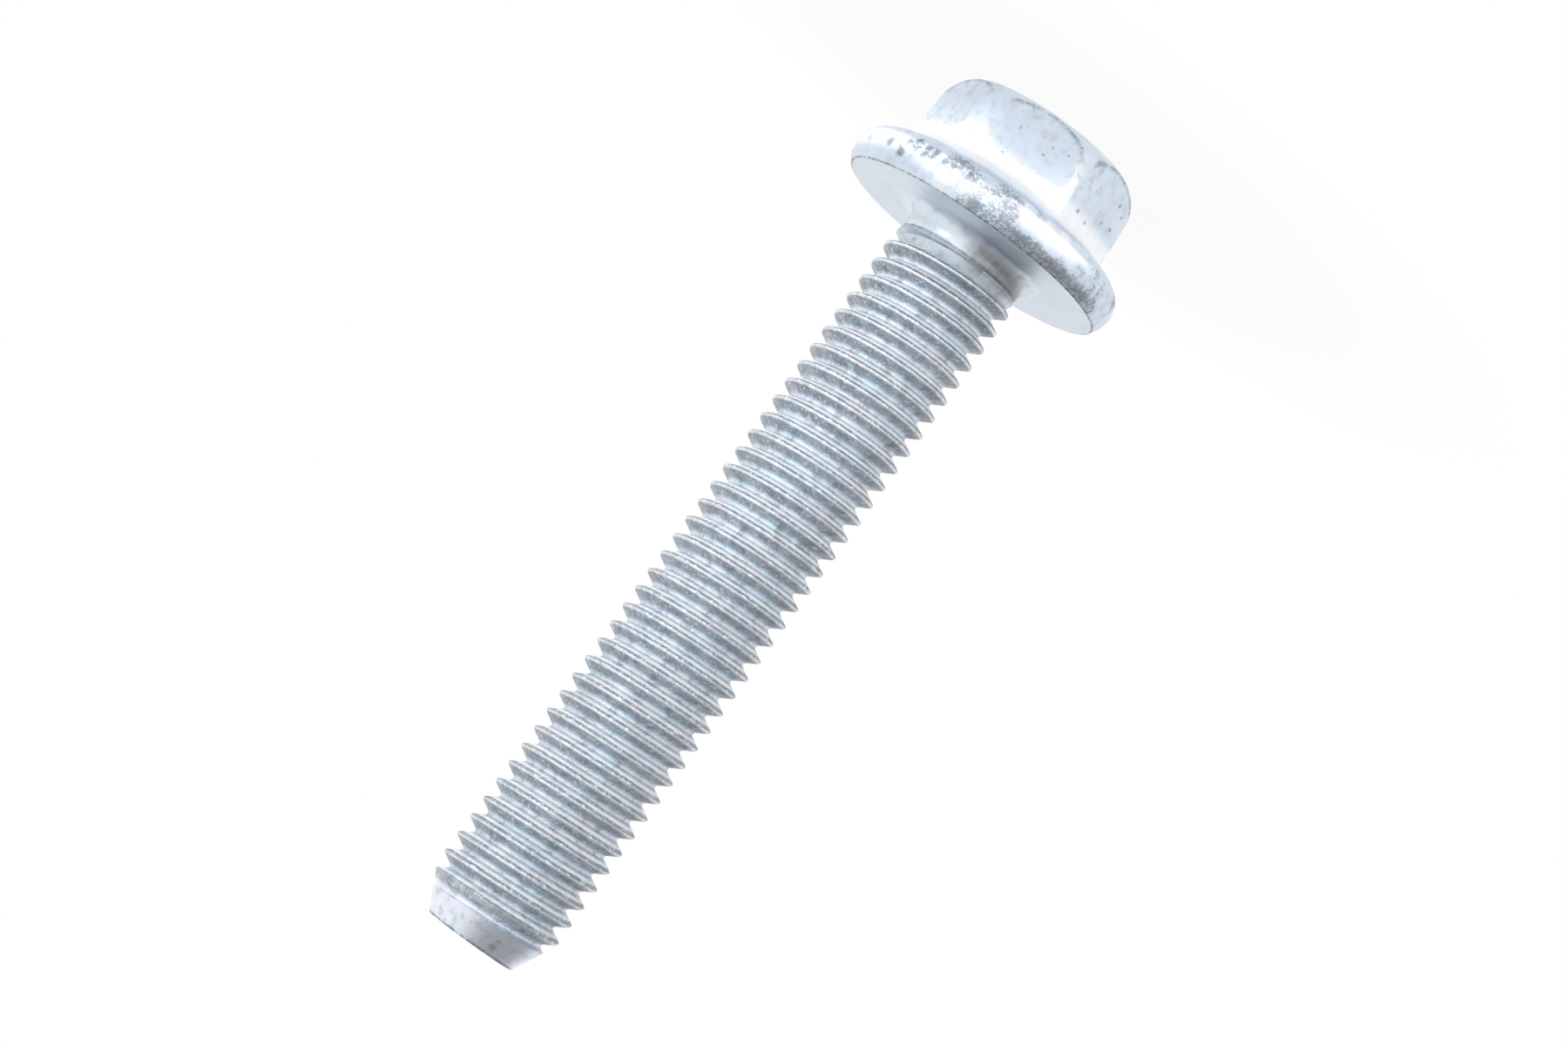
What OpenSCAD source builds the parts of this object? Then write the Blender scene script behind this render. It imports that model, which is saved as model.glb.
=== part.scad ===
// Hex flange bolt, forged in one piece: a hexagon head on a round flange, and a shank that is
// threaded almost up to the head and ends in a conical point.
// The bolt stands on its head. Z = 0 is the top of the head, and +Z runs along the shank to the point.

/* [Thread] */
// Diameter over the crests of the thread
thread_d = 11.9; // [11:0.1:13]
// Distance from one crest to the next
thread_pitch = 1.75; // [1.5:0.05:2]
// Angle between the two flanks of the groove
thread_angle = 60; // [55:1:65]
// Width of the flat along the crest
crest_flat = 0.22; // [0.1:0.01:0.35]
// Width of the flat along the bottom of the groove
root_flat = 0.29; // [0.2:0.01:0.45]
// Angle round the bolt at which the ridge starts
thread_start = 135; // [0:1:359]
// Flat facets in each turn of the ridge
thread_facets = 24; // [16:1:28]

/* [Shank] */
// Length from the bearing face to the end of the point
shank_length = 70; // [50:1:80]
// Diameter of the flat end of the point
point_d = 8.1; // [6:0.1:9]
// Angle between the side of the point and the axis
point_angle = 27; // [20:1:45]
// Depth of the plain neck below the crests of the thread
neck_step = 0.35; // [0.2:0.05:0.6]
// Length of the neck, from the bearing face to where it starts to run out
neck_length = 2; // [1.8:0.1:3]
// Length over which the neck runs out into the groove
runout_length = 1.6; // [1:0.1:3]
// Radius of the fillet between the neck and the bearing face
fillet_r = 1.6; // [0.8:0.1:1.7]

/* [Head] */
// Height of the whole head, flange included
head_height = 11.4; // [10:0.1:14]
// Width across the flats of the hexagon at its foot
across_flats = 17; // [16:0.1:18.5]
// Distance by which the corners of the hexagon are rounded off
corner_cut = 0.12; // [0.05:0.01:0.3]
// Lean of the flats towards the top of the head
flat_draft = 3; // [0:0.5:4]
// Distance from the foot of the flats in to the edge of the top face
top_inset = 0.8; // [0.4:0.1:2]
// Depth below the top face at which the corners start to round over
shoulder_depth = 2.8; // [1.5:0.1:3.5]

/* [Flange] */
// Largest diameter of the flange
flange_d = 25.6; // [24:0.1:29]
// Distance by which the rim swells beyond its two edges
rim_bulge = 0.65; // [0.3:0.05:1.2]
// Thickness of the flange at its rim
rim_height = 3.4; // [2.6:0.1:4]
// Slope of the top of the flange
flange_slope = 21; // [12:1:35]

/* [Hidden] */
$fn = 96;
zinc_grey = [0.77, 0.81, 0.84];
hex_sides = 6;
sunk = 0.5; // how far one form reaches into the next

bearing_z = head_height;
point_z = bearing_z + shank_length;

// Groove and ridge
crest_r = thread_d / 2;
flank_run = (thread_pitch - crest_flat - root_flat) / 2;
root_r = crest_r - flank_run / tan(thread_angle / 2);
neck_r = crest_r - neck_step;
neck_z = bearing_z + neck_length;
full_z = neck_z + runout_length;

// Section of the ridge over one pitch: distance along the shank, and share of the full height
ridge = [
    [0, 0],
    [root_flat, 0],
    [root_flat + flank_run, 1],
    [root_flat + flank_run + crest_flat, 1],
];
last = len(ridge) - 1;

// The ridge starts inside the head and ends past the point
turns_in_head = 2;
turns_past_point = 1;
thread_z = bearing_z - turns_in_head * thread_pitch;
thread_turns = ceil((point_z - thread_z) / thread_pitch) + turns_past_point;
thread_steps = thread_turns * thread_facets;

// Flange
bearing_r = flange_d / 2 - rim_bulge;
rim_r = (pow(rim_height / 2, 2) + pow(rim_bulge, 2)) / (2 * rim_bulge);
rim_centre = flange_d / 2 - rim_r;
function slope_z(r) = bearing_z - rim_height - (bearing_r - r) * tan(flange_slope);

// Hexagon
corner_r = across_flats / 2 / cos(180 / hex_sides) - corner_cut;
corner_lean = tan(flat_draft) / cos(180 / hex_sides);
foot_z = slope_z(corner_r);
top_r = across_flats / 2 - top_inset;

// Arc that rounds the corners over, from the leaning corner line to the edge of the top face
corner_angle = atan(corner_lean);
shoulder_run = corner_r - (foot_z - shoulder_depth) * corner_lean - top_r;
shoulder_r = (pow(shoulder_run, 2) + pow(shoulder_depth, 2))
    / (2 * (shoulder_run * cos(corner_angle) - shoulder_depth * sin(corner_angle)));
shoulder_centre = [
    top_r + shoulder_run - shoulder_r * cos(corner_angle),
    shoulder_depth + shoulder_r * sin(corner_angle),
];

// The ridge rises out of the neck, from nothing at the bearing face to its full height
function ease(x) = x <= 0 ? 0 : x >= 1 ? 1 : x * x * (3 - 2 * x);
function ridge_height(z) = (crest_r - root_r) * ease((z - bearing_z) / (full_z - bearing_z));
function ridge_point(step, corner) =
    let (
        angle = thread_start + 360 * step / thread_facets,
        z = thread_z + thread_pitch * step / thread_facets + corner[0],
        r = root_r + ridge_height(z) * corner[1]
    )
    [r * cos(angle), r * sin(angle), z];
function at(step, k) = step * len(ridge) + k;

// A rod with the ridge wound round it, longer than the shank at both ends
module threaded_rod() {
    points = [for (step = [0:thread_steps]) for (corner = ridge) ridge_point(step, corner)];
    ends = [[0, 0, thread_z], [0, 0, thread_z + thread_turns * thread_pitch]];
    ridge_faces = [
        for (step = [0:thread_steps - 1])
            for (k = [0:last - 1])
                [at(step, k), at(step, k + 1), at(step + 1, k + 1), at(step + 1, k)]
    ];
    groove_faces = [
        for (step = [0:thread_steps - thread_facets - 1])
            let (above = step + thread_facets)
            [at(step, last), at(above, 0), at(above + 1, 0), at(step + 1, last)]
    ];
    low_rim = concat(
        [for (k = [0:last]) at(0, k)],
        [for (step = [thread_facets:-1:1]) at(step, 0)]
    );
    high_rim = concat(
        [for (step = [thread_steps - thread_facets:thread_steps]) at(step, last)],
        [for (k = [last - 1:-1:0]) at(thread_steps, k)]
    );
    caps = [
        for (end = [[low_rim, len(points)], [high_rim, len(points) + 1]])
            for (i = [0:len(end[0]) - 1])
                [end[1], end[0][(i + 1) % len(end[0])], end[0][i]]
    ];
    polyhedron(concat(points, ends), concat(ridge_faces, groove_faces, caps));
}

// The form that the rod is trimmed to: clear of the crests, with the cone and the flat end of the point
module shank_trim() {
    clear_r = crest_r + sunk;
    cone_length = (clear_r - point_d / 2) / tan(point_angle);
    rotate_extrude()
        polygon([
            [0, thread_z - sunk],
            [clear_r, thread_z - sunk],
            [clear_r, point_z - cone_length],
            [point_d / 2, point_z],
            [0, point_z],
        ]);
}

module shank() {
    intersection() {
        threaded_rod();
        shank_trim();
    }
}

// Plain neck with its fillet, running out into the first turn of the groove
module neck() {
    core_r = root_r - sunk;
    core_z = neck_z + runout_length * (neck_r - core_r) / (neck_r - root_r);
    rotate_extrude()
        difference() {
            polygon([
                [0, bearing_z - sunk],
                [neck_r + fillet_r, bearing_z - sunk],
                [neck_r + fillet_r, bearing_z],
                [neck_r, bearing_z + fillet_r],
                [neck_r, neck_z],
                [core_r, core_z],
                [0, core_z],
            ]);
            translate([neck_r + fillet_r, bearing_z + fillet_r]) circle(fillet_r);
        }
}

// Flange with a flat bearing face, a rounded rim and a sloping top
module flange() {
    inner_r = across_flats / 2 - 2 * sunk;
    rotate_extrude() {
        polygon([
            [0, bearing_z],
            [bearing_r, bearing_z],
            [bearing_r, bearing_z - rim_height],
            [inner_r, slope_z(inner_r)],
            [0, slope_z(inner_r)],
        ]);
        intersection() {
            translate([rim_centre, bearing_z - rim_height / 2]) circle(rim_r);
            translate([rim_centre, bearing_z - rim_height]) square([rim_r, rim_height]);
        }
    }
}

// Hexagon: a round blank with rounded shoulders, and six leaning flats cut from its side
module hexagon() {
    buried_z = bearing_z - rim_height / 2;
    shoulder_at = top_r + shoulder_run;
    difference() {
        rotate_extrude() {
            polygon([
                [0, shoulder_depth],
                [shoulder_at, shoulder_depth],
                [corner_r + (buried_z - foot_z) * corner_lean, buried_z],
                [0, buried_z],
            ]);
            square([top_r, shoulder_depth]);
            intersection() {
                translate(shoulder_centre) circle(shoulder_r);
                square([shoulder_at, shoulder_depth]);
            }
        }
        for (side = [0:hex_sides - 1])
            rotate([0, 0, 360 / hex_sides * side])
                translate([across_flats / 2, 0, foot_z])
                    rotate([0, flat_draft, 0])
                        translate([0, -across_flats, -2 * head_height])
                            cube([across_flats, 2 * across_flats, 4 * head_height]);
    }
}

module bolt() {
    color(zinc_grey) {
        hexagon();
        flange();
        neck();
        shank();
    }
}

bolt();
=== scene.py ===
import math

import bmesh
import bpy
from mathutils import Matrix, Vector


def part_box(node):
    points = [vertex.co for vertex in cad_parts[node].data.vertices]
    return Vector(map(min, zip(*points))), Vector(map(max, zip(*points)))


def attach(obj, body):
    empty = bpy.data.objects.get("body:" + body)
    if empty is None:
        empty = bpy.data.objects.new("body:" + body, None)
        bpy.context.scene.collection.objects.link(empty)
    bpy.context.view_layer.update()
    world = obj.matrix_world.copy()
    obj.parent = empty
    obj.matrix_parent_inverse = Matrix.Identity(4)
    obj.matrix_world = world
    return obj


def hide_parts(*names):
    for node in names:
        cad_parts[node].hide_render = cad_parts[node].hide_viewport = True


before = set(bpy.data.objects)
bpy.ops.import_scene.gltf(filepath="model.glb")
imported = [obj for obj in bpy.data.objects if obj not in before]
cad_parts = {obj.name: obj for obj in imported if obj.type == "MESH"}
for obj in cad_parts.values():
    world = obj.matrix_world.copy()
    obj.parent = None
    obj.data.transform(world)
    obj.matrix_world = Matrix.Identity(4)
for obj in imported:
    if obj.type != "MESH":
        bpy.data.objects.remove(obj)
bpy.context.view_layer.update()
mm = 0.001
mergeNear = 1e-6  # points closer than this become one


# small helpers for modelling with operators

def deselectAll():
    if bpy.context.mode != "OBJECT":
        bpy.ops.object.mode_set(mode="OBJECT")
    bpy.ops.object.select_all(action="DESELECT")


def makeActive(piece):
    deselectAll()
    piece.select_set(True)
    bpy.context.view_layer.objects.active = piece


def pickPoints(piece, test):
    bpy.ops.mesh.select_mode(type="VERT")
    bpy.ops.mesh.select_all(action="DESELECT")
    shape = bmesh.from_edit_mesh(piece.data)
    for point in shape.verts:
        point.select_set(test(point.co))
    shape.select_flush_mode()
    bmesh.update_edit_mesh(piece.data)


def pickEdges(piece, test):
    bpy.ops.mesh.select_mode(type="EDGE")
    bpy.ops.mesh.select_all(action="DESELECT")
    shape = bmesh.from_edit_mesh(piece.data)
    for edge in shape.edges:
        edge.select_set(test(edge))
    shape.select_flush_mode()
    bmesh.update_edit_mesh(piece.data)


def drawOutline(name, points):
    # a small plane merged to one point, then extruded point by point along the outline
    deselectAll()
    bpy.ops.mesh.primitive_plane_add(size=mm, location=(0, 0, 0))
    piece = bpy.context.active_object
    piece.name = name
    bpy.ops.object.mode_set(mode="EDIT")
    bpy.ops.mesh.select_mode(type="VERT")
    bpy.ops.mesh.select_all(action="SELECT")
    bpy.ops.mesh.merge(type="CENTER")
    bpy.ops.transform.translate(value=points[0])
    for here, there in zip(points, points[1:]):
        bpy.ops.mesh.extrude_region_move(TRANSFORM_OT_translate={"value": there - here})
    return piece


def roundPoint(piece, place, width, pieces):
    # rounds one point of an outline that is being edited
    pickPoints(piece, lambda co: (co - place).length < 10 * mergeNear)
    bpy.ops.mesh.bevel(offset=width, segments=pieces, affect="VERTICES")


def closeUp():
    # merges doubles, turns the faces outward and leaves edit mode
    bpy.ops.mesh.select_mode(type="VERT")
    bpy.ops.mesh.select_all(action="SELECT")
    bpy.ops.mesh.remove_doubles(threshold=mergeNear)
    bpy.ops.mesh.normals_make_consistent(inside=False)
    bpy.ops.object.mode_set(mode="OBJECT")


def spinRound():
    bpy.ops.mesh.select_all(action="SELECT")
    bpy.ops.mesh.spin(steps=roundSteps, angle=math.tau, center=(0, 0, 0), axis=(0, 0, 1))
    closeUp()


def combine(piece, tool, operation):
    makeActive(piece)
    change = piece.modifiers.new("combine", "BOOLEAN")
    change.operation = operation
    change.solver = "EXACT"
    change.object = tool
    bpy.ops.object.modifier_apply(modifier=change.name)
    bpy.data.objects.remove(tool, do_unlink=True)
    if not piece.data.polygons:
        raise RuntimeError("nothing is left of " + piece.name)


def arc(centre, radius, fromDeg, toDeg, pieces):
    # points of an arc as (radius, height) pairs
    angles = [math.radians(fromDeg + (toDeg - fromDeg) * i / pieces) for i in range(pieces + 1)]
    return [(centre[0] + radius * math.cos(a), centre[1] + radius * math.sin(a)) for a in angles]


# sizes of the bolt that several forms share
low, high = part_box("bolt")
flangeR = (high.x - low.x) / 2
pointZ = high.z
boltSizes = {
    "bearingZ": 11.4 * mm,
    "crestR": 5.95 * mm,
    "rootR": 4.876 * mm,
    "neckR": 5.6 * mm,
    "neckLength": 2 * mm,
    "runout": 1.6 * mm,
    "sunk": 0.5 * mm,
    "roundSteps": 180,
    "smoothAngle": 32,
}
bearingZ = boltSizes["bearingZ"]
crestR = boltSizes["crestR"]
rootR = boltSizes["rootR"]
neckR = boltSizes["neckR"]
neckZ = bearingZ + boltSizes["neckLength"]
fullZ = neckZ + boltSizes["runout"]
sunk = boltSizes["sunk"]
roundSteps = boltSizes["roundSteps"]


# the threaded rod: one pitch of the groove, wound up by a screw
threadSizes = {
    "pitch": 1.75 * mm,
    "crestFlat": 0.22 * mm,
    "rootFlat": 0.29 * mm,
    "crestRound": 0.08 * mm,
    "rootRound": 0.13 * mm,
    "roundPieces": 3,
    "startAngle": 135,
    "turnsInHead": 3,
    "stepsPerTurn": 72,
}


def makeThread():
    # one pitch from the middle of a crest to the middle of the next
    pitch, crestFlat, rootFlat = (threadSizes[k] for k in ("pitch", "crestFlat", "rootFlat"))
    flankRun = (pitch - crestFlat - rootFlat) / 2
    firstZ = bearingZ - threadSizes["turnsInHead"] * pitch
    turns = math.ceil((pointZ - firstZ) / pitch) + 1
    crestZ = firstZ + rootFlat + flankRun + crestFlat / 2
    rootZ = crestFlat / 2 + flankRun
    across = [(0, crestR), (crestFlat / 2, crestR), (rootZ, rootR), (rootZ + rootFlat, rootR)]
    across += [(pitch - crestFlat / 2, crestR), (pitch, crestR)]
    angle = math.radians(threadSizes["startAngle"])
    points = [Vector((r * math.cos(angle), r * math.sin(angle), crestZ + z)) for z, r in across]
    rod = drawOutline("threadRod", points)
    for corner, width in zip(points[1:5], ("crestRound", "rootRound", "rootRound", "crestRound")):
        roundPoint(rod, corner, threadSizes[width], threadSizes["roundPieces"])
    bpy.ops.object.mode_set(mode="OBJECT")
    wind = rod.modifiers.new("wind", "SCREW")
    wind.axis = "Z"
    wind.angle = math.tau
    wind.screw_offset = pitch
    wind.iterations = turns
    wind.steps = threadSizes["stepsPerTurn"]
    wind.render_steps = threadSizes["stepsPerTurn"]
    wind.use_merge_vertices = True
    wind.merge_threshold = mergeNear
    makeActive(rod)
    bpy.ops.object.modifier_apply(modifier=wind.name)
    bpy.ops.object.mode_set(mode="EDIT")
    bpy.ops.mesh.select_all(action="SELECT")
    bpy.ops.mesh.remove_doubles(threshold=mergeNear)
    bpy.ops.mesh.select_mode(type="EDGE")
    bpy.ops.mesh.select_all(action="DESELECT")
    bpy.ops.mesh.select_non_manifold()
    bpy.ops.mesh.fill_holes(sides=0)
    bpy.ops.mesh.select_mode(type="FACE")
    bpy.ops.mesh.select_all(action="DESELECT")
    shape = bmesh.from_edit_mesh(rod.data)
    for face in shape.faces:
        face.select_set(len(face.verts) > 4)
    bmesh.update_edit_mesh(rod.data)
    bpy.ops.mesh.poke()
    closeUp()
    print("thread wound:", turns, "turns,", len(rod.data.polygons), "faces")
    return rod


# the form that the thread is trimmed to: a conical point, and crests that fade under the head
trimSizes = {
    "pointR": 4.05 * mm,
    "pointAngle": 27,
    "pointRound": 0.1 * mm,
    "roundPieces": 3,
    "clear": 0.5 * mm,
    "spare": 0.05 * mm,
    "neckInset": 0.3 * mm,
    "buried": 3 * mm,
}


def trimThread(rod):
    pointR, spare = trimSizes["pointR"], trimSizes["spare"]
    clearR = crestR + trimSizes["clear"]
    cone = (clearR - pointR) / math.tan(math.radians(trimSizes["pointAngle"]))
    buried = bearingZ - trimSizes["buried"]
    outline = [
        (0, buried),
        (rootR, buried),
        (neckR - trimSizes["neckInset"], bearingZ),
        (neckR + spare, neckZ),
        (crestR + spare, fullZ),
        (clearR, fullZ + sunk),
        (clearR, pointZ - cone),
        (pointR, pointZ),
        (0, pointZ),
    ]
    trim = drawOutline("pointTrim", [Vector((r, 0, z)) for r, z in outline])
    roundPoint(trim, Vector((pointR, 0, pointZ)), trimSizes["pointRound"], trimSizes["roundPieces"])
    spinRound()
    combine(rod, trim, "INTERSECT")
    print("thread trimmed:", len(rod.data.polygons), "faces")


# the flange with the neck, as one lathe outline from the neck to the slope under the hexagon
flangeSizes = {
    "filletR": 1.6 * mm,
    "rimBulge": 0.65 * mm,
    "rimHeight": 3.4 * mm,
    "slope": 21,
    "lowRound": 0.09 * mm,
    "highRound": 0.7 * mm,
    "innerR": 7.5 * mm,
    "filletPieces": 12,
    "rimPieces": 4,
    "lowPieces": 3,
    "highPieces": 7,
}
bearingR = flangeR - flangeSizes["rimBulge"]


def slopeZ(r):
    # height of the slope under the hexagon
    rise = (bearingR - r) * math.tan(math.radians(flangeSizes["slope"]))
    return bearingZ - flangeSizes["rimHeight"] - rise


def makeFlange():
    filletR, bulge, rimHeight = (flangeSizes[k] for k in ("filletR", "rimBulge", "rimHeight"))
    rimR = ((rimHeight / 2) ** 2 + bulge ** 2) / (2 * bulge)
    rimCentre = (flangeR - rimR, bearingZ - rimHeight / 2)
    reach = math.degrees(math.asin(rimHeight / 2 / rimR))
    coreR = rootR - sunk
    coreZ = neckZ + boltSizes["runout"] * (neckR - coreR) / (neckR - rootR)
    outline = [(0, coreZ), (coreR, coreZ), (neckR, neckZ)]
    outline += arc((neckR + filletR, bearingZ + filletR), filletR, 180, 270, flangeSizes["filletPieces"])
    outline += arc(rimCentre, rimR, reach, -reach, flangeSizes["rimPieces"])
    innerR = flangeSizes["innerR"]
    outline += [(innerR, slopeZ(innerR)), (0, slopeZ(innerR))]
    piece = drawOutline("flange", [Vector((r, 0, z)) for r, z in outline])
    for z, name in ((bearingZ, "low"), (bearingZ - rimHeight, "high")):
        width, pieces = flangeSizes[name + "Round"], flangeSizes[name + "Pieces"]
        roundPoint(piece, Vector((bearingR, 0, z)), width, pieces)
    spinRound()
    print("flange spun:", len(piece.data.polygons), "faces")
    return piece


# the hexagon: six leaning flats with rounded corners, and shoulders that round over to the top face
hexSizes = {
    "acrossFlats": 17 * mm,
    "draft": 3,
    "cornerRound": 0.6 * mm,
    "cornerCut": 0.12 * mm,
    "softCorner": -30,  # the corner that the forging left round
    "softRound": 2.2 * mm,
    "wornCorner": -90,  # the corner that is worn off at its upper end
    "wornDepth": 4.2 * mm,
    "wornLean": 15,
    "topInset": 0.8 * mm,
    "shoulderDepth": 2.8 * mm,
    "topRound": 0.2 * mm,
    "footRound": 0.5 * mm,
    "cornerPieces": 6,
    "shoulderPieces": 12,
    "topPieces": 3,
    "footPieces": 5,
    "over": 1 * mm,  # how far the blank stands out past the top face
}
edgePicks = {  # how edges are told apart by their place and their faces
    "cornerHeight": 1 * mm,
    "cornerTurn": 1,
    "upright": 0.4,
    "level": 0.8,
    "footR": 10 * mm,
    "footZ": 5 * mm,
    "flatLean": 0.075,
}
flatTurn = math.pi / 6  # from the middle of a flat to a corner
cornerR = hexSizes["acrossFlats"] / 2 / math.cos(flatTurn) - hexSizes["cornerCut"]
footZ = slopeZ(cornerR)
flatLean = math.tan(math.radians(hexSizes["draft"]))


def flatHalf(z):
    # from the axis to the middle of a flat
    return hexSizes["acrossFlats"] / 2 - (footZ - z) * flatLean


def shoulderArc():
    # centre, radius and lean of the arc from the leaning corner line to the edge of the top face
    depth = hexSizes["shoulderDepth"]
    topR = hexSizes["acrossFlats"] / 2 - hexSizes["topInset"]
    tilt = math.atan(flatLean / math.cos(flatTurn))
    run = cornerR - (footZ - depth) * math.tan(tilt) - topR
    radius = (run ** 2 + depth ** 2) / (2 * (run * math.cos(tilt) - depth * math.sin(tilt)))
    return (topR + run - radius * math.cos(tilt), depth + radius * math.sin(tilt)), radius, tilt


def makeShoulders():
    # a round blank whose upper edge is the shoulder's arc
    centre, radius, tilt = shoulderArc()
    topAngle = -math.degrees(math.asin(centre[1] / radius))
    outline = [(0, 0)] + arc(centre, radius, topAngle, -math.degrees(tilt), hexSizes["shoulderPieces"])
    endR, endZ = outline[-1]
    wideR = endR + (pointZ - endZ) * math.tan(tilt)
    outline += [(wideR, pointZ), (0, pointZ)]
    piece = drawOutline("shoulderBlank", [Vector((r, 0, z)) for r, z in outline])
    roundPoint(piece, Vector((outline[1][0], 0, 0)), hexSizes["topRound"], hexSizes["topPieces"])
    spinRound()
    return piece


def atCorner(edge, corner):
    # true for an upright edge at the corner's angle
    middle = (edge.verts[0].co + edge.verts[1].co) / 2
    upright = abs(edge.verts[0].co.z - edge.verts[1].co.z) > edgePicks["cornerHeight"]
    turn = math.degrees(math.atan2(middle.y, middle.x)) - corner
    return upright and abs(turn) < edgePicks["cornerTurn"]


def roundCorners(piece):
    bpy.ops.object.mode_set(mode="EDIT")
    for corner in range(-150, 180, 60):
        width = hexSizes["softRound" if corner == hexSizes["softCorner"] else "cornerRound"]
        pickEdges(piece, lambda edge: atCorner(edge, corner))
        bpy.ops.mesh.bevel(offset=width, segments=hexSizes["cornerPieces"], affect="EDGES")
    closeUp()


def wearCorner(piece):
    # a leaning plane takes the upper end of one corner off
    turn = math.radians(hexSizes["wornCorner"])
    tilt = math.radians(hexSizes["wornLean"])
    depth = hexSizes["wornDepth"]
    outward = Vector((math.cos(turn), math.sin(turn), 0))
    up = Vector((0, 0, 1))
    makeActive(piece)
    bpy.ops.object.mode_set(mode="EDIT")
    bpy.ops.mesh.select_all(action="SELECT")
    bpy.ops.mesh.bisect(
        plane_co=outward * flatHalf(depth) / math.cos(flatTurn) + up * depth,
        plane_no=outward * math.cos(tilt) - up * math.sin(tilt),
        use_fill=True,
        clear_outer=True,
        threshold=mergeNear / 10,
    )
    closeUp()


def makeHexagon():
    buried = bearingZ - flangeSizes["rimHeight"] / 2
    over = hexSizes["over"]
    deselectAll()
    bpy.ops.mesh.primitive_cylinder_add(
        vertices=6,
        radius=flatHalf(buried) / math.cos(flatTurn),
        depth=buried + over,
        location=(0, 0, (buried - over) / 2),
        rotation=(0, 0, 0),
    )
    piece = bpy.context.active_object
    piece.name = "hexagon"
    bpy.ops.object.transform_apply(location=True, rotation=True, scale=True)
    bpy.ops.object.mode_set(mode="EDIT")
    pickPoints(piece, lambda co: co.z < 0)
    shrink = flatHalf(-over) / flatHalf(buried)
    bpy.ops.transform.resize(value=(shrink, shrink, 1), center_override=(0, 0, 0))
    roundCorners(piece)
    combine(piece, makeShoulders(), "INTERSECT")
    wearCorner(piece)
    print("hexagon cut:", len(piece.data.polygons), "faces")
    return piece


def onFoot(edge):
    # true for the inside edge where a flat or a corner of the hexagon meets the slope of the flange
    if len(edge.link_faces) != 2:
        return False
    middle = (edge.verts[0].co + edge.verts[1].co) / 2
    steep, flat = sorted(abs(face.normal.z) for face in edge.link_faces)
    inside = steep < edgePicks["upright"] and flat > edgePicks["level"]
    return inside and middle.xy.length < edgePicks["footR"] and middle.z > edgePicks["footZ"]


def onShoulder(edge):
    # true for the edges between the flats and the shoulders
    if len(edge.link_faces) != 2 or edge.verts[0].co.z > hexSizes["wornDepth"]:
        return False
    flat, shoulder = sorted(-face.normal.z for face in edge.link_faces)
    return flat < edgePicks["flatLean"] < shoulder


def makeHead():
    head = makeFlange()
    combine(head, makeHexagon(), "UNION")
    makeActive(head)
    bpy.ops.object.mode_set(mode="EDIT")
    closeUp()
    bpy.ops.object.mode_set(mode="EDIT")
    pickEdges(head, onFoot)
    bpy.ops.mesh.bevel(
        offset=hexSizes["footRound"],
        segments=hexSizes["footPieces"],
        affect="EDGES",
        clamp_overlap=False,
    )
    closeUp()
    print("head joined:", len(head.data.polygons), "faces")
    return head


def makeBolt():
    bolt = makeThread()
    trimThread(bolt)
    combine(bolt, makeHead(), "UNION")
    bolt.name = "flange_bolt"
    makeActive(bolt)
    bpy.ops.object.mode_set(mode="EDIT")
    pickEdges(bolt, onShoulder)
    bpy.ops.mesh.mark_sharp()
    closeUp()
    bpy.ops.object.shade_smooth_by_angle(angle=math.radians(boltSizes["smoothAngle"]))
    steady = bolt.modifiers.new("steady", "WEIGHTED_NORMAL")
    steady.keep_sharp = True
    bpy.ops.object.modifier_apply(modifier=steady.name)
    print("bolt joined:", len(bolt.data.polygons), "faces")
    return bolt


# the zinc coating: its colours, with painted light and shade on the thread, the foot, the point and the
# neck, and the layers of patterns that lie on it
zincLook = {
    "pale": (0.725, 0.80, 0.89, 1),
    "cool": (0.64, 0.72, 0.815, 1),
    # painted light: a lighter colour where the hexagon's flats meet the flange
    "foot": (0.93, 0.965, 0.99, 1),
    # painted light: a lighter colour on the point's cone
    "tip": (0.89, 0.93, 1.0, 1),
    "shank": (0.72, 0.785, 0.845, 1),
    "under": (0.72, 0.78, 0.835, 1),
    # painted light and painted shade: a near-white colour on the thread's flanks that face the head, and a
    # dark one on those that face the point
    "lit": (0.95, 0.975, 0.985, 1),
    "shaded": (0.33, 0.365, 0.395, 1),
    # painted shade on the crests and in a thin line on their side that faces the head
    "groove": (0.33, 0.36, 0.39, 1),
    # painted highlight on the side of the crests that faces the point
    "ridge": (0.80, 0.845, 0.88, 1),
    # painted shade: a darker colour on the neck under the flange
    "neck": (0.60, 0.66, 0.71, 1),
    # worn places and painted highlights on the corners and the rim
    "wearAndHighlight": (0.93, 0.965, 0.99, 1),
    "stain": (0.32, 0.35, 0.39, 1),
    "sand": (0.15, 0.165, 0.185, 1),
    # grime with painted shade on the neck
    "grimeAndShade": (0.20, 0.20, 0.185, 1),
    "cyan": (0.965, 1.0, 1.01, 1),
    "lilac": (1.015, 0.985, 1.0, 1),
    "tipShare": 0.85,
    "fleckShare": 0.6,
}
zincLayers = [  # pattern, share and colour, from the lowest to the uppermost
    ("tarnish", 0.4, "stain"),
    ("mottle", 0.38, "sand"),
    ("patch", 0.3, "stain"),
    ("bright", 1.0, "wearAndHighlight"),
    ("stain", 0.6, "sand"),
    ("pits", 0.7, "sand"),
    # painted shade along the edges
    ("edges", 0.8, "sand"),
    ("grimeAndShade", 0.8, "grimeAndShade"),
]
zincGloss = {  # roughness, how far it varies with the patina, and how much rougher some places are
    "roughness": 0.36,
    "range": 0.24,
    "rougher": {"thread": 0.16, "lit": 0.34, "crest": -0.1, "under": 0.06, "wearAndHighlight": -0.14, "stain": 0.1},
}
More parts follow.
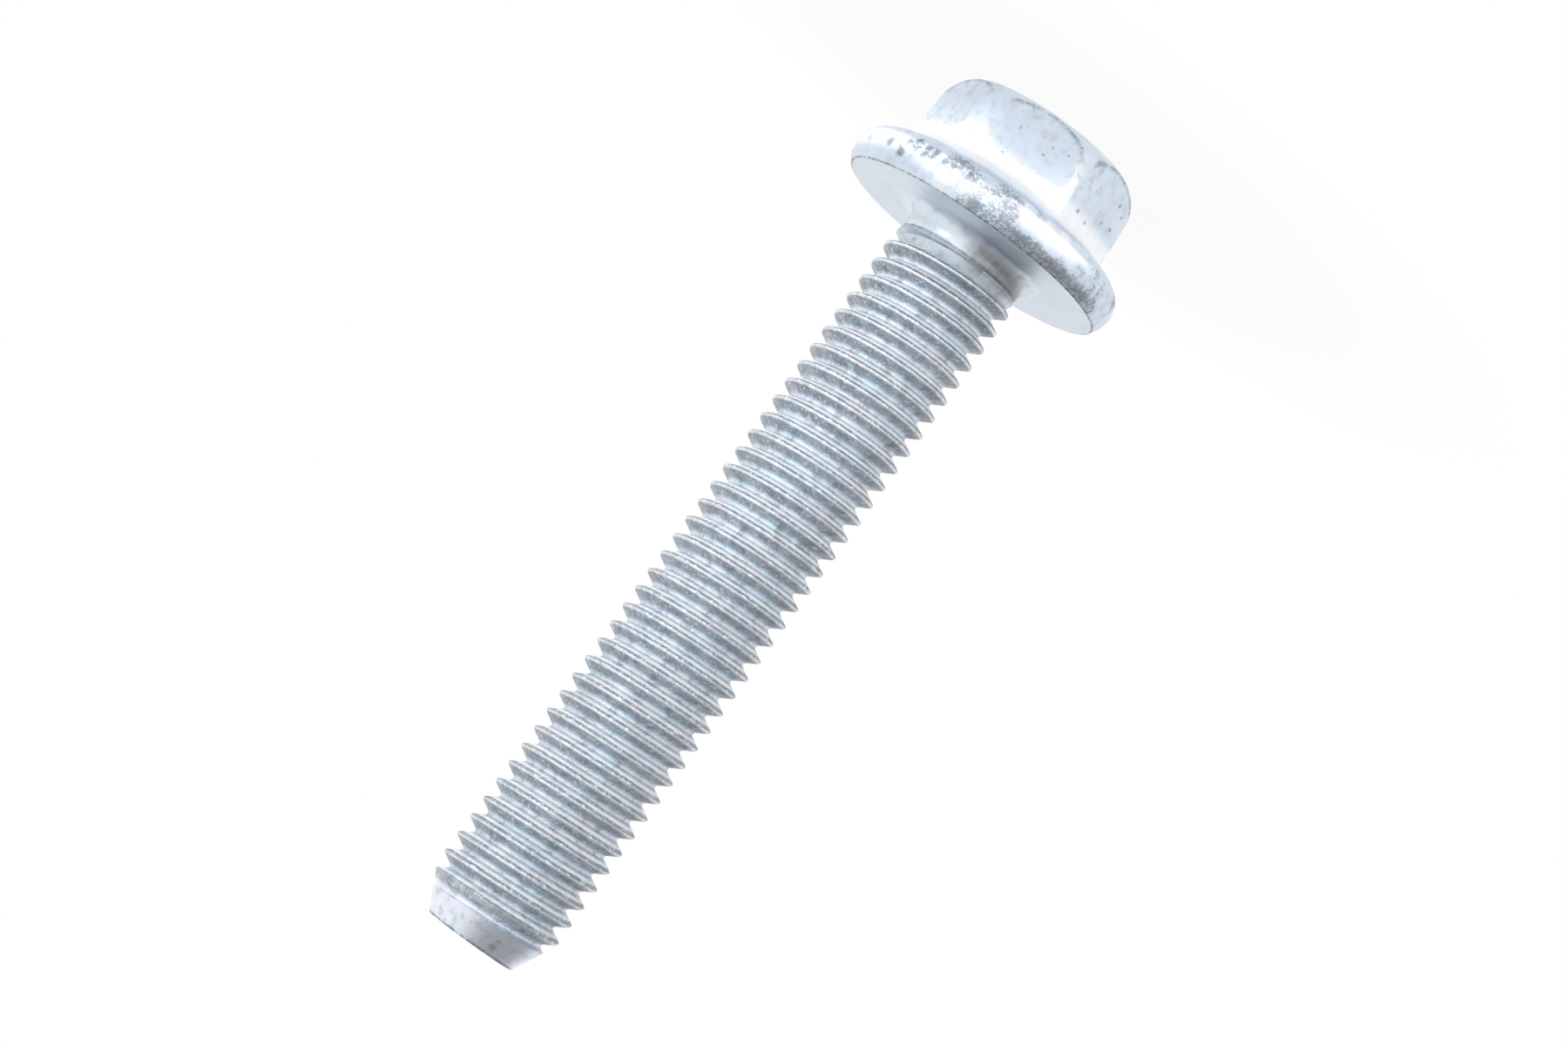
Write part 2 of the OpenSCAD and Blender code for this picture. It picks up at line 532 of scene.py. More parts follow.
zincRelief = {  # heights of the fine relief
    "grain": 0.003 * mm,
    "patina": 0.012 * mm,
    "cloud": 0.06 * mm,
    "pits": -0.02 * mm,
    "stain": -0.01 * mm,
}
zincNoise = {  # scale per metre, detail and roughness
    "cloud": (150, 3, 0.5),
    "cluster": (210, 2, 0.5),
    "hue": (520, 3, 0.5),
    "patina": (1000, 6, 0.65),
    "speckle": (2100, 4, 0.6),
    "sand": (4200, 3, 0.6),
    "grain": (5200, 2, 0.5),
}
zincJitter = {  # the same for noise that moves places about, and its reach
    "wander": (1500, 3, 0.5, 0.9 * mm),
    "shiver": (3000, 3, 0.5, 0.4 * mm),
}
zincSpans = {  # where a soft step starts, and where it is full
    "head": (bearingZ + 0.02 * mm, bearingZ - 0.1 * mm),  # heights
    "tip": (pointZ - 2.9 * mm, pointZ - 2.3 * mm),
    "thread": (neckZ, fullZ),
    "footHeight": (4.4 * mm, 5.8 * mm),
    "neckStart": (bearingZ + 0.6 * mm, bearingZ + 1.4 * mm),
    "neckEnd": (fullZ, neckZ),
    "rim": (11.6 * mm, 12.3 * mm),  # distances from the axis
    "footReach": (11.0 * mm, 10.0 * mm),
    "under": (6.6 * mm, 7.4 * mm),
    "crest": (5.79 * mm, 5.88 * mm),
    "groove": (5.5 * mm, 5.72 * mm),
    "lit": (4.95 * mm, 5.35 * mm),
    "shaded": (4.88 * mm, 5.2 * mm),
    "facesHead": (-0.1, -0.6),  # the way that a surface faces, up to 1 for the point
    "facesOut": (-0.3, 0.15),
    "facesPoint": (0.1, 0.75),
    "cool": (0.35, 0.68),  # levels of noise
    "lilac": (0.35, 0.65),
    "tarnish": (0.46, 0.72),
    "cluster": (0.5, 0.66),
    "patch": (0.5, 0.68),
    "patchGrain": (0.35, 0.6),
    "mottle": (0.95, 1.15),
    "fleck": (1.08, 1.2),
    "wearAndHighlight": (0.3, 0.55),
    "stained": (0.05, 0.35),
    "broken": (0.75, 1.1),
    "bearingEdge": (0.17 * mm, 0.07 * mm),  # distances from an edge
    "endEdge": (0.32 * mm, 0.1 * mm),
    "neckLine": (0.15 * mm, 0.05 * mm),
    "shoulderLine": (0.24 * mm, 0.02 * mm),
}
zincUneven = {  # how far a share rises with noise, and where it starts
    "line": (1.3, 0.25),
    "flank": (0.8, 0.45),
}
zincClean = {  # places with fewer spots or less mottle
    "spots": {"under": 0.85, "foot": 0.8, "lit": 0.6},
    "mottle": {"crest": 1, "lit": 0.75},
}
zincStains = {"limit": 0.62, "drop": 0.25, "soft": 0.17, "patina": 0.4}
zincPits = {"scale": 1300, "rare": 0.9, "onStains": 0.4, "least": 0.1, "spread": 0.2, "core": 0.04}
stainBand = {
    "middle": -92,
    "reach": 38,
    "fade": 10,
    "ringR": 12.6 * mm,
    "ringZ": 10.9 * mm,
    "width": 1.1 * mm,
    "core": 0.2,
}
shoulderLine = {"share": 0.7, "highest": 0.7 * hexSizes["shoulderDepth"]}
edgeRings = [  # radius, height, kind and share of painted shade lines round the axis
    (bearingR, bearingZ, "bearingEdge", 1.0),
    (trimSizes["pointR"], pointZ, "endEdge", 1.0),
    (neckR, bearingZ + 1.85 * mm, "neckLine", 0.7),
    (neckR, bearingZ + 2.2 * mm, "neckLine", 0.7),
]
markCores = {"stain": 0.3, "wearAndHighlight": 0.2, "pit": 0.3, "grimeAndShade": 0.2}  # the full part of a mark's size
zincMarks = {  # angle, height in mm, size in mm and share
    "stain": [
        (-12, 9.7, 1.0, 0.5),
        (-21, 10.0, 1.1, 0.6),
        (-26, 8.9, 1.2, 0.9),
        (-33, 9.0, 1.2, 0.9),
        (-42, 9.0, 1.0, 0.7),
        (-57, 10.1, 1.3, 0.7),
        (-66, 10.1, 1.5, 0.8),
        (-107, 10.0, 1.2, 0.6),
        (-116, 8.8, 1.0, 0.6),
        (-122, 9.8, 1.3, 0.7),
    ],
    # worn places and painted highlights on the corners, the rim and its slope
    "wearAndHighlight": [
        (-44, 10.3, 1.6, 1.0),
        (-52, 10.3, 1.2, 0.8),
        (-76, 8.7, 1.2, 1.0),
        (-85, 8.7, 1.3, 1.0),
        (-94, 8.6, 1.2, 1.0),
        (-90, 1.2, 1.0, 1.0),
        (-89, 2.6, 0.9, 1.0),
        (-33, 6.1, 0.9, 0.9),
        (-33, 4.8, 0.8, 0.8),
        (-50, 5.8, 0.6, 0.7),
    ],
    "pit": [
        (2, 9.8, 0.5, 0.7),
        (-13, 9.7, 0.6, 1.0),
        (-21, 10.2, 0.6, 1.0),
        (-22, 9.0, 0.45, 0.9),
        (-25, 8.6, 0.5, 1.0),
        (-31, 8.8, 0.55, 1.0),
        (-31, 9.5, 0.45, 1.0),
        (-35, 8.8, 0.5, 1.0),
        (-40, 9.2, 0.45, 0.9),
        (-44, 9.1, 0.4, 0.9),
        (-51, 8.9, 0.4, 0.9),
        (1, 4.9, 0.22, 0.5),
        (-50, 2.6, 0.24, 0.5),
        (-71, 2.5, 0.22, 0.7),
        (-50, 5.1, 0.2, 0.6),
        (-79, 1.2, 0.16, 0.6),
        (-104, 5.2, 0.3, 0.9),
        (-115, 5.4, 0.22, 0.9),
        (-135, 2.0, 0.32, 0.9),
        (-129, 4.2, 0.24, 0.8),
        (-139, 4.0, 0.28, 0.9),
        (-46, 80.0, 0.34, 0.4),
        (-16, 80.4, 0.3, 0.35),
        (-57, 80.0, 0.24, 0.3),
        (-69, 80.0, 0.26, 0.35),
        (-90, 80.6, 0.5, 0.55),
        (-90, 80.0, 0.34, 0.45),
    ],
    # grime with painted shade in a smear round the far side of the neck
    "grimeAndShade": [
        (-68, 12.7, 1.0, 0.5),
        (-76, 12.7, 1.2, 0.8),
        (-84, 12.8, 1.3, 0.9),
        (-92, 12.8, 1.3, 1.0),
        (-100, 12.8, 1.3, 1.0),
        (-108, 12.8, 1.3, 1.0),
        (-116, 12.9, 1.3, 1.0),
        (-124, 12.9, 1.3, 1.0),
        (-132, 12.9, 1.2, 0.9),
        (-140, 12.9, 1.0, 0.7),
    ],
}


def skinR(angle, z):
    # how far the bolt's surface is from the axis, away from the thread
    if z > bearingZ:
        cone = (pointZ - z) * math.tan(math.radians(trimSizes["pointAngle"]))
        return min(neckR, trimSizes["pointR"] + cone)
    fromMiddle = 1 - 2 * (bearingZ - z) / flangeSizes["rimHeight"]
    if fromMiddle > -1:
        return flangeR - flangeSizes["rimBulge"] * fromMiddle ** 2
    fromFlat = math.radians((angle + 30) % 60 - 30)
    return flatHalf(z) / math.cos(fromFlat)


def feed(tree, socket, value):
    # a value is a number, a colour or the output of another node
    if hasattr(value, "is_linked"):
        tree.links.new(value, socket)
    else:
        socket.default_value = value


def calc(tree, operation, *values):
    node = tree.nodes.new("ShaderNodeMath")
    node.operation = operation
    for socket, value in zip(node.inputs, values):
        feed(tree, socket, value)
    return node.outputs[0]


def product(tree, *values):
    result = values[0]
    for value in values[1:]:
        result = calc(tree, "MULTIPLY", result, value)
    return result


def less(tree, value, share):
    # 1 where the value is 0, and smaller by a share of it elsewhere
    return calc(tree, "MULTIPLY_ADD", value, -share, 1.0)


def softStep(tree, value, start, end):
    node = tree.nodes.new("ShaderNodeMapRange")
    node.interpolation_type = "SMOOTHSTEP"
    for name, share in (("Value", value), ("From Min", start), ("From Max", end)):
        feed(tree, node.inputs[name], share)
    return node.outputs["Result"]


def span(tree, value, name):
    return softStep(tree, value, *zincSpans[name])


def uneven(tree, noise, name):
    # a share that varies with noise
    return calc(tree, "MULTIPLY_ADD", noise, *zincUneven[name])


def noiseAt(tree, place, scale, detail, roughness):
    node = tree.nodes.new("ShaderNodeTexNoise")
    for name, value in (("Vector", place), ("Scale", scale), ("Detail", detail), ("Roughness", roughness)):
        feed(tree, node.inputs[name], value)
    return node.outputs


def jitter(tree, place, scale, detail, roughness, reach):
    # places moved about by noise, for uneven outlines
    moved = tree.nodes.new("ShaderNodeVectorMath")
    moved.operation = "MULTIPLY_ADD"
    feed(tree, moved.inputs[0], noiseAt(tree, place, scale, detail, roughness)[1])
    moved.inputs[1].default_value = (reach, reach, reach)
    feed(tree, moved.inputs[2], place)
    back = tree.nodes.new("ShaderNodeVectorMath")
    feed(tree, back.inputs[0], moved.outputs[0])
    back.inputs[1].default_value = (-reach / 2, -reach / 2, -reach / 2)
    return back.outputs[0]


def tint(tree, share, colour, other, blend="MIX"):
    node = tree.nodes.new("ShaderNodeMix")
    node.data_type = "RGBA"
    node.blend_type = blend
    for socket, value in zip((node.inputs[0], node.inputs[6], node.inputs[7]), (share, colour, other)):
        feed(tree, socket, value)
    return node.outputs[2]


def fromCircle(tree, r, z, ringR, ringZ):
    # distance from a circle round the axis
    away = calc(tree, "SUBTRACT", r, ringR)
    along = calc(tree, "SUBTRACT", z, ringZ)
    squares = calc(tree, "ADD", product(tree, away, away), product(tree, along, along))
    return calc(tree, "SQRT", squares)


def nearMarks(tree, place, kind):
    # the strongest of the marks of a kind near a place
    most = 0.0
    for angle, height, size, share in zincMarks[kind]:
        turn = math.radians(angle)
        markR = skinR(angle, height * mm)
        away = tree.nodes.new("ShaderNodeVectorMath")
        away.operation = "DISTANCE"
        feed(tree, away.inputs[0], place)
        away.inputs[1].default_value = (markR * math.cos(turn), markR * math.sin(turn), height * mm)
        near = softStep(tree, away.outputs["Value"], size * mm, size * mm * markCores[kind])
        most = calc(tree, "MAXIMUM", most, product(tree, near, share))
    return most


def nearBand(tree, zinc):
    # 1 on the stained stretch of the rim, along the edge of the bearing face
    turn, reach, fade = (math.radians(stainBand[k]) for k in ("middle", "reach", "fade"))
    ringR, ringZ, width, core = (stainBand[k] for k in ("ringR", "ringZ", "width", "core"))
    aside = product(tree, zinc["y"], math.sin(turn))
    towards = calc(tree, "ADD", product(tree, zinc["x"], math.cos(turn)), aside)
    cos = calc(tree, "DIVIDE", towards, zinc["r"])
    stretch = softStep(tree, cos, math.cos(reach + fade), math.cos(reach - fade))
    near = fromCircle(tree, zinc["r"], zinc["z"], ringR, ringZ)
    return product(tree, stretch, softStep(tree, near, width, width * core))


def nearShoulder(tree, zinc):
    # 1 on the edge where a flat of the hexagon meets the rounded shoulder
    x, y, z, r = (zinc[k] for k in ("x", "y", "z", "r"))
    cos, sin = math.cos(2 * flatTurn), math.sin(2 * flatTurn)
    flat = calc(tree, "ABSOLUTE", x)
    for turn in (sin, -sin):
        other = calc(tree, "ADD", product(tree, x, cos), product(tree, y, turn))
        flat = calc(tree, "MAXIMUM", flat, calc(tree, "ABSOLUTE", other))
    flat = calc(tree, "SUBTRACT", flat, calc(tree, "MULTIPLY_ADD", z, flatLean, flatHalf(0)))
    (ringR, ringZ), shoulderR, _ = shoulderArc()
    bow = calc(tree, "SUBTRACT", fromCircle(tree, r, z, ringR, ringZ), shoulderR)
    most = calc(tree, "MAXIMUM", calc(tree, "ABSOLUTE", flat), calc(tree, "ABSOLUTE", bow))
    line = span(tree, most, "shoulderLine")
    return product(tree, line, calc(tree, "LESS_THAN", z, shoulderLine["highest"]))


def cleanOf(tree, zinc, kind):
    return product(tree, *(less(tree, zinc[name], share) for name, share in zincClean[kind].items()))


def readPlaces(tree):
    # object coordinates, the distance from the axis, and how far a surface faces the point
    where = tree.nodes.new("ShaderNodeTexCoord")
    place = where.outputs["Object"]
    split = tree.nodes.new("ShaderNodeSeparateXYZ")
    feed(tree, split.inputs[0], place)
    x, y, z = split.outputs
    facing = tree.nodes.new("ShaderNodeSeparateXYZ")
    feed(tree, facing.inputs[0], where.outputs["Normal"])
    r = calc(tree, "SQRT", calc(tree, "ADD", product(tree, x, x), product(tree, y, y)))
    return {"place": place, "x": x, "y": y, "z": z, "r": r, "along": facing.outputs[2]}


def addNoise(tree, zinc):
    for name, sizes in zincNoise.items():
        zinc[name] = noiseAt(tree, zinc["place"], *sizes)[0]
    for name, sizes in zincJitter.items():
        zinc[name] = jitter(tree, zinc["place"], *sizes)


def findZones(tree, zinc):
    z, r, along = (zinc[k] for k in ("z", "r", "along"))
    head = span(tree, z, "head")
    tip = span(tree, z, "tip")
    thread = calc(tree, "SUBTRACT", span(tree, z, "thread"), tip)
    crest = product(tree, thread, span(tree, r, "crest"))
    flank = product(tree, thread, span(tree, along, "facesHead"))
    lineOut = uneven(tree, zinc["speckle"], "line")
    lineIn = uneven(tree, zinc["patina"], "line")
    zinc.update({
        "head": head,
        "tip": tip,
        "thread": thread,
        "crest": crest,
        # painted highlight on the crests, and painted shade in a line beside them
        "ridge": product(tree, crest, span(tree, along, "facesOut"), lineOut),
        "groove": product(tree, flank, span(tree, r, "groove"), lineIn),
        "lit": product(tree, flank, span(tree, r, "lit")),
        "shaded": product(tree, thread, span(tree, along, "facesPoint"), span(tree, r, "shaded")),
        "rim": product(tree, head, span(tree, r, "rim")),
        "foot": product(tree, head, span(tree, z, "footHeight"), span(tree, r, "footReach")),
        "under": product(tree, less(tree, head, 1), span(tree, r, "under")),
        "neck": product(tree, span(tree, z, "neckStart"), span(tree, z, "neckEnd")),
    })


def addStains(tree, zinc):
    # sandy stains on the rim, rubbed places with painted highlights, and tarnish
    patina = zinc["patina"]
    some = product(tree, zinc["rim"], span(tree, zinc["cluster"], "cluster"))
    some = calc(tree, "MAXIMUM", some, nearMarks(tree, zinc["wander"], "stain"))
    some = calc(tree, "MAXIMUM", some, nearBand(tree, zinc))
    limit = calc(tree, "MULTIPLY_ADD", some, -zincStains["drop"], zincStains["limit"])
    sandy = product(tree, zinc["sand"], 1 - zincStains["patina"])
    level = calc(tree, "MULTIPLY_ADD", patina, zincStains["patina"], sandy)
    stain = softStep(tree, level, limit, calc(tree, "ADD", limit, zincStains["soft"]))
    # worn places with painted highlights
    wearAndHighlight = product(tree, nearMarks(tree, zinc["wander"], "wearAndHighlight"), span(tree, patina, "wearAndHighlight"))
    zinc["stained"] = some
    zinc["stain"] = product(tree, stain, span(tree, some, "stained"), less(tree, wearAndHighlight, 1))
    zinc["wearAndHighlight"] = wearAndHighlight
    zinc["tarnish"] = product(tree, span(tree, patina, "tarnish"), cleanOf(tree, zinc, "spots"))


def mottleThread(tree, zinc):
    # grain, bright flecks and darker patches on the thread
    thread, speckle, sand = (zinc[k] for k in ("thread", "speckle", "sand"))
    grainy = span(tree, calc(tree, "ADD", zinc["patina"], sand), "mottle")
    zinc["mottle"] = product(tree, grainy, thread, cleanOf(tree, zinc, "mottle"))
    fleck = product(tree, span(tree, calc(tree, "ADD", speckle, sand), "fleck"), thread)
    zinc["bright"] = calc(tree, "MAXIMUM", zinc["wearAndHighlight"], product(tree, fleck, zincLook["fleckShare"]))
    patch = product(tree, thread, span(tree, zinc["cluster"], "patch"), less(tree, zinc["ridge"], 1))
    zinc["patch"] = product(tree, patch, span(tree, speckle, "patchGrain"))


def addPits(tree, zinc):
    # small cells, of which a few are dark, and more where the rim is stained
    cells = tree.nodes.new("ShaderNodeTexVoronoi")
    feed(tree, cells.inputs["Vector"], zinc["place"])
    cells.inputs["Scale"].default_value = zincPits["scale"]
    chance = tree.nodes.new("ShaderNodeSeparateColor")
    feed(tree, chance.inputs[0], cells.outputs["Color"])
    rare = calc(tree, "MULTIPLY_ADD", zinc["stained"], -zincPits["onStains"], zincPits["rare"])
    chosen = calc(tree, "GREATER_THAN", chance.outputs[0], rare)
    reach = calc(tree, "MULTIPLY_ADD", chance.outputs[1], zincPits["spread"], zincPits["least"])
    spot = softStep(tree, cells.outputs["Distance"], reach, zincPits["core"])
    pits = product(tree, chosen, spot, less(tree, zinc["thread"], 1), cleanOf(tree, zinc, "spots"))
    zinc["pits"] = calc(tree, "MAXIMUM", pits, nearMarks(tree, zinc["shiver"], "pit"))


def addEdges(tree, zinc):
    # painted shade: dark broken lines on the edges; and grime with painted shade on the neck
    edges = product(tree, nearShoulder(tree, zinc), shoulderLine["share"])
    for ringR, ringZ, kind, share in edgeRings:
        line = span(tree, fromCircle(tree, zinc["r"], zinc["z"], ringR, ringZ), kind)
        edges = calc(tree, "MAXIMUM", edges, product(tree, line, share))
    broken = span(tree, calc(tree, "ADD", zinc["patina"], zinc["sand"]), "broken")
    zinc["edges"] = product(tree, edges, broken)
    # grime with painted shade on the neck
    zinc["grimeAndShade"] = nearMarks(tree, zinc["shiver"], "grimeAndShade")


def colourZinc(tree, zinc):
    look = zincLook
    colour = tint(tree, span(tree, zinc["cloud"], "cool"), look["pale"], look["cool"])
    # painted light: the foot of the hexagon is coloured lighter
    colour = tint(tree, zinc["foot"], colour, look["foot"])
    # painted light: the point's cone is coloured lighter
    colour = tint(tree, product(tree, zinc["tip"], look["tipShare"]), colour, look["tip"])
    shades = product(tree, zinc["shaded"], uneven(tree, zinc["patina"], "flank"))
    # painted shade: the crests and a thin line beside them are coloured dark
    grooves = calc(tree, "MAXIMUM", zinc["crest"], zinc["groove"])
    shank = tint(tree, zinc["under"], look["shank"], look["under"])
    # painted light on the flanks that face the head, painted shade on those that face the point
    shank = tint(tree, zinc["lit"], shank, look["lit"])
    shank = tint(tree, shades, shank, look["shaded"])
    shank = tint(tree, grooves, shank, look["groove"])
    # painted highlight on the crests' side that faces the point
    shank = tint(tree, zinc["ridge"], shank, look["ridge"])
    # painted shade on the neck under the flange
    shank = tint(tree, zinc["neck"], shank, look["neck"])
    colour = tint(tree, calc(tree, "MAXIMUM", zinc["head"], zinc["tip"]), shank, colour)
    for pattern, share, name in zincLayers:
        colour = tint(tree, product(tree, zinc[pattern], share), colour, look[name])
    sheen = tint(tree, span(tree, zinc["hue"], "lilac"), look["cyan"], look["lilac"])
    return tint(tree, 1.0, colour, sheen, "MULTIPLY")


def glossZinc(tree, zinc):
    start = zincGloss["roughness"] - zincGloss["range"] / 2
    rough = calc(tree, "MULTIPLY_ADD", zinc["patina"], zincGloss["range"], start)
    for name, change in zincGloss["rougher"].items():
        rough = calc(tree, "MULTIPLY_ADD", zinc[name], change, rough)
    return rough


def reliefZinc(tree, zinc):
    # the bump's height is in metres
    relief = 0.0
    for name, height in zincRelief.items():
        relief = calc(tree, "MULTIPLY_ADD", zinc[name], height, relief)
    bump = tree.nodes.new("ShaderNodeBump")
    bump.inputs["Strength"].default_value = 1.0
    bump.inputs["Distance"].default_value = 1.0
    feed(tree, bump.inputs["Height"], relief)
    return bump.outputs[0]


def zincCoat():
    paint = bpy.data.materials.new("zincCoat")
    paint.use_nodes = True
    tree = paint.node_tree
    shader = tree.nodes["Principled BSDF"]
    zinc = readPlaces(tree)  # places, noise and patterns by name
    for step in (addNoise, findZones, addStains, mottleThread, addPits, addEdges):
        step(tree, zinc)
    feed(tree, shader.inputs["Base Color"], colourZinc(tree, zinc))
    feed(tree, shader.inputs["Roughness"], glossZinc(tree, zinc))
    feed(tree, shader.inputs["Normal"], reliefZinc(tree, zinc))
    shader.inputs["Metallic"].default_value = 1.0
    print("zinc mixed:", len(tree.nodes), "nodes")
    return paint


# camera at the photograph's place, level with the upper shank and turned so that the head is up right
cameraPlan = {
    "azimuth": 24.6,
    "distance": 0.303,
    "height": 0.0692,
    "sideStep": -0.0054,
    "aimHeight": 0.0390,
    "aimSide": -0.0008,
    "turn": 144.2,
    "lens": 85.5,
    "sensor": 36,
    "clipStart": 0.01,
}


def viewAxes():
    a = math.radians(cameraPlan["azimuth"])
    return Vector((math.cos(a), math.sin(a), 0)), Vector((math.sin(a), -math.cos(a), 0))


def setCamera():
    side, front = viewAxes()
    up = Vector((0, 0, 1))
    place = front * cameraPlan["distance"] + side * cameraPlan["sideStep"] + up * cameraPlan["height"]
    aim = side * cameraPlan["aimSide"] + up * cameraPlan["aimHeight"]
    forward = (aim - place).normalized()
    level = forward.cross(up).normalized()
    upright = level.cross(forward)
    turn = math.radians(cameraPlan["turn"])
    right = level * math.cos(turn) - upright * math.sin(turn)
    top = level * math.sin(turn) + upright * math.cos(turn)
    lens = bpy.data.cameras.new("studioCamera")
    lens.lens = cameraPlan["lens"]
    lens.sensor_width = cameraPlan["sensor"]
    lens.clip_start = cameraPlan["clipStart"]
    eye = bpy.data.objects.new("studioCamera", lens)
    bpy.context.collection.objects.link(eye)
    eye.matrix_world = Matrix.Translation(place) @ Matrix((right, top, -forward)).transposed().to_4x4()
    bpy.context.scene.camera = eye
    print("camera set")


# white floor, lamps, a grey card and surroundings
stageLook = {
    "floorWidth": 3.0,
    "floorSides": 64,
    "floorGrey": 0.85,
    "floorGlow": 0.92,
    "fadeFrom": 0.012,
    "fadeTo": 0.05,
    "ambient": 0.5,
    "standLamps": [  # place as side, front and up in metres, then size and power
        ((0.33, 0.27, 0.03), 0.22, 0.2),
        ((0.1, 0.45, 0.1), 0.4, 0.11),
        ((-0.36, 0.25, 0.06), 0.35, 0.2),
    ],
    "tableLamps": [  # the same for lamps that lie on the floor and shine up
        ((0.112, 0.035, 0.0006), 0.2, 0.105),
        ((0.0, 0.125, 0.0008), 0.14, 0.05),
        ((-0.0166, 0.0243, 0.001), 0.024, 0.0026),
    ],
    "cardPlace": (-0.18, 0.04, 0.29),
    "cardWidth": 1.0,
    "cardSides": 48,
    "cardMiddle": 0.2,  # the share of the card that is fully dark
    "cardDark": 0.33,
    "cardPale": 0.8,
}


def whenSeen(nodes, links):
    # 1 for rays from the camera, from gloss and through glass
    path = nodes.new("ShaderNodeLightPath")
    seen = path.outputs["Is Camera Ray"]
    for name in ("Is Glossy Ray", "Is Transmission Ray"):
        either = nodes.new("ShaderNodeMath")
        either.operation = "MAXIMUM"
        links.new(seen, either.inputs[0])
        links.new(path.outputs[name], either.inputs[1])
        seen = either.outputs[0]
    return seen


def fadeWithDistance(nodes, links, near, far, nearValue, farValue):
    # a value that changes softly with the distance from the object's own middle
    place = nodes.new("ShaderNodeTexCoord")
    distance = nodes.new("ShaderNodeVectorMath")
    distance.operation = "LENGTH"
    links.new(place.outputs["Object"], distance.inputs[0])
    fade = nodes.new("ShaderNodeMapRange")
    fade.interpolation_type = "SMOOTHSTEP"
    links.new(distance.outputs["Value"], fade.inputs["Value"])
    limits = {"From Min": near, "From Max": far, "To Min": nearValue, "To Max": farValue}
    for socket, value in limits.items():
        fade.inputs[socket].default_value = value
    return fade.outputs["Result"]


def aimLamp(name, place, target, size, power):
    glow = bpy.data.lights.new(name, "AREA")
    glow.shape = "SQUARE"
    glow.size = size
    glow.energy = power
    lamp = bpy.data.objects.new(name, glow)
    bpy.context.collection.objects.link(lamp)
    lamp.location = place
    lamp.rotation_euler = (target - place).to_track_quat("-Z", "Y").to_euler()
    lamp.visible_camera = False


def hangCard(place, target):
    # a leaning grey card that only gloss sees, so that the metal has something darker to show
    deselectAll()
    radius = stageLook["cardWidth"] / 2
    sides = stageLook["cardSides"]
    bpy.ops.mesh.primitive_circle_add(vertices=sides, radius=radius, fill_type="NGON", location=place)
    card = bpy.context.active_object
    card.name = "greyCard"
    card.rotation_euler = (target - place).to_track_quat("Z", "Y").to_euler()
    card.visible_camera = False
    card.visible_diffuse = False
    card.visible_shadow = False
    grey = bpy.data.materials.new("greyCard")
    grey.use_nodes = True
    nodes, links = grey.node_tree.nodes, grey.node_tree.links
    nodes.clear()
    out = nodes.new("ShaderNodeOutputMaterial")
    glow = nodes.new("ShaderNodeEmission")
    near = stageLook["cardMiddle"] * radius
    shade = fadeWithDistance(nodes, links, near, radius, stageLook["cardDark"], stageLook["cardPale"])
    links.new(shade, glow.inputs["Strength"])
    links.new(glow.outputs[0], out.inputs["Surface"])
    card.data.materials.append(grey)


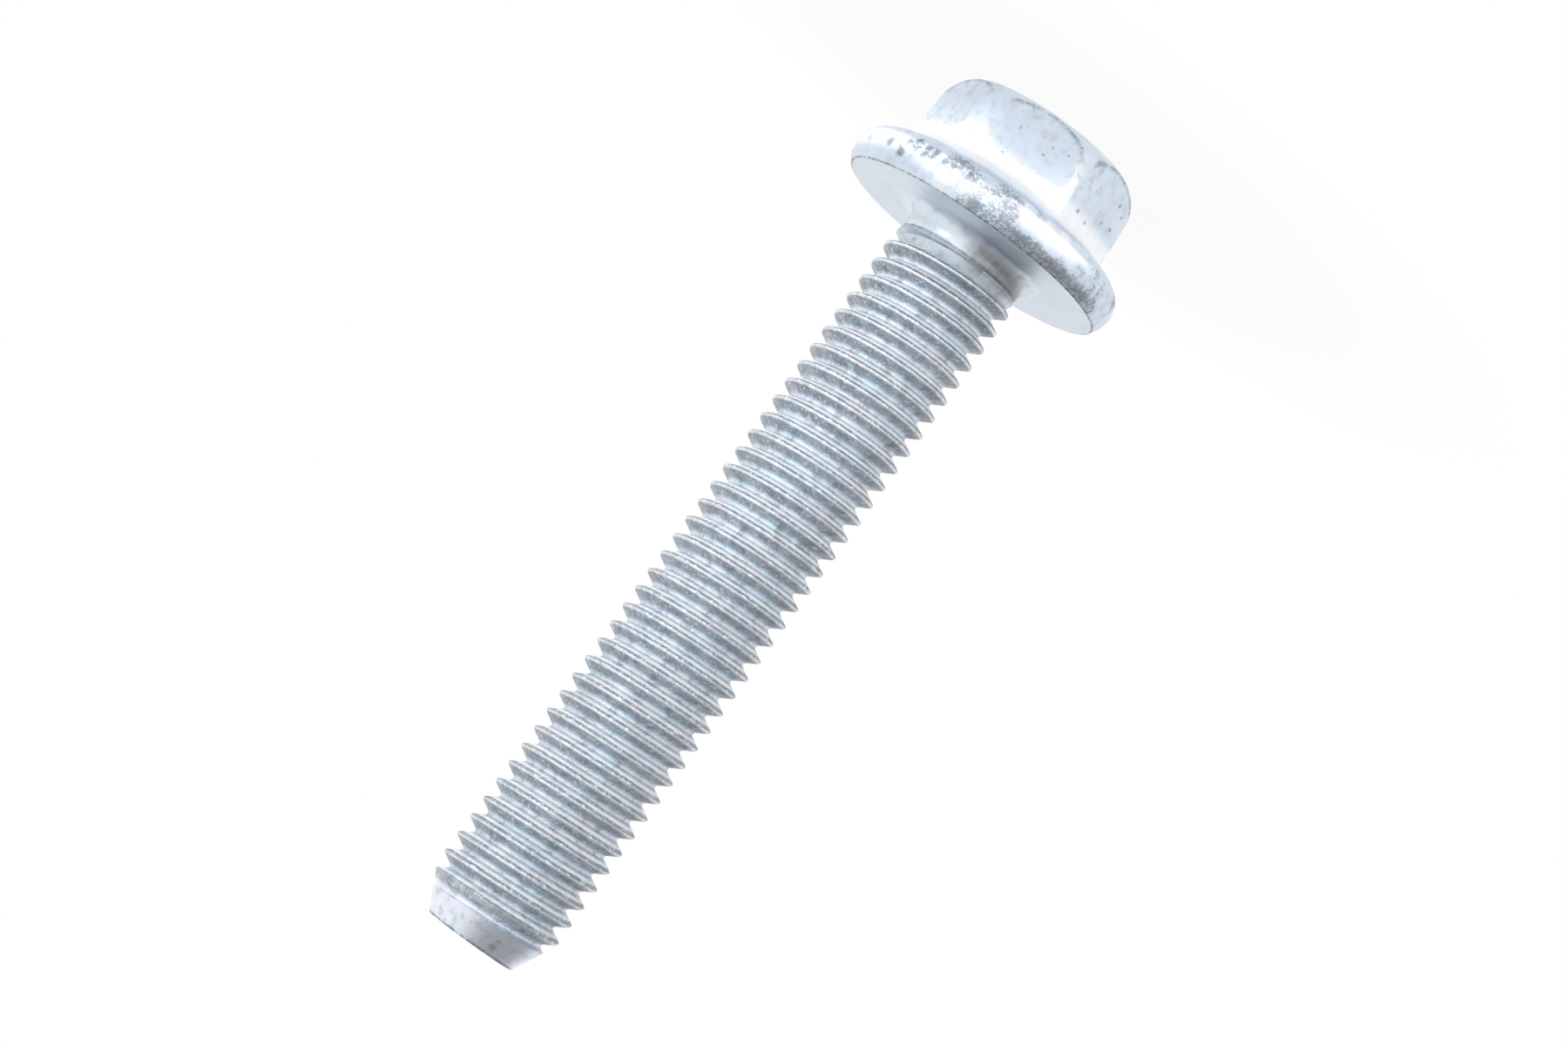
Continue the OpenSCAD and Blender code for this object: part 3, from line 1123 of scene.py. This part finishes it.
def layFloor():
    deselectAll()
    sides, radius = stageLook["floorSides"], stageLook["floorWidth"] / 2
    bpy.ops.mesh.primitive_circle_add(vertices=sides, radius=radius, fill_type="NGON")
    floor = bpy.context.active_object
    floor.name = "floor"
    white = bpy.data.materials.new("whiteFloor")
    white.use_nodes = True
    nodes, links = white.node_tree.nodes, white.node_tree.links
    nodes.clear()
    out = nodes.new("ShaderNodeOutputMaterial")
    matte = nodes.new("ShaderNodeBsdfDiffuse")
    grey = stageLook["floorGrey"]
    matte.inputs["Color"].default_value = (grey, grey, grey, 1)
    glow = nodes.new("ShaderNodeEmission")
    glow.inputs["Strength"].default_value = 1.0
    share = nodes.new("ShaderNodeMath")
    share.operation = "MULTIPLY"
    links.new(whenSeen(nodes, links), share.inputs[0])
    near, far, glowNear = (stageLook[k] for k in ("fadeFrom", "fadeTo", "floorGlow"))
    fade = fadeWithDistance(nodes, links, near, far, glowNear, 1.0)
    links.new(fade, share.inputs[1])  # pure white away from the bolt
    mix = nodes.new("ShaderNodeMixShader")
    links.new(share.outputs[0], mix.inputs[0])
    links.new(matte.outputs[0], mix.inputs[1])
    links.new(glow.outputs[0], mix.inputs[2])
    links.new(mix.outputs[0], out.inputs["Surface"])
    floor.data.materials.append(white)


def lightWorld():
    world = bpy.data.worlds.new("studio")
    bpy.context.scene.world = world
    world.use_nodes = True
    nodes, links = world.node_tree.nodes, world.node_tree.links
    nodes.clear()
    out = nodes.new("ShaderNodeOutputWorld")
    ambient = nodes.new("ShaderNodeBackground")
    ambient.inputs["Strength"].default_value = stageLook["ambient"]
    shown = nodes.new("ShaderNodeBackground")
    shown.inputs["Strength"].default_value = 1.0
    for sky in (ambient, shown):
        sky.inputs["Color"].default_value = (1, 1, 1, 1)
    mix = nodes.new("ShaderNodeMixShader")
    links.new(whenSeen(nodes, links), mix.inputs[0])
    links.new(ambient.outputs[0], mix.inputs[1])
    links.new(shown.outputs[0], mix.inputs[2])
    links.new(mix.outputs[0], out.inputs["Surface"])


def seenFrom(place):
    # a place given as side, front and up, as the camera sees them
    side, front = viewAxes()
    return side * place[0] + front * place[1] + Vector((0, 0, place[2]))


def setStage():
    up = Vector((0, 0, 1))
    middle = up * pointZ / 2
    layFloor()
    hangCard(seenFrom(stageLook["cardPlace"]), middle)
    for place, size, power in stageLook["standLamps"]:
        aimLamp("standLamp", seenFrom(place), middle, size, power)
    for place, size, power in stageLook["tableLamps"]:
        aimLamp("tableLamp", seenFrom(place), seenFrom(place) + up, size, power)
    lightWorld()
    bpy.context.scene.view_settings.view_transform = "Standard"
    print("stage lit")


setCamera()
bolt = makeBolt()
bolt.data.materials.clear()
bolt.data.materials.append(zincCoat())
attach(bolt, "root")
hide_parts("bolt")
setStage()
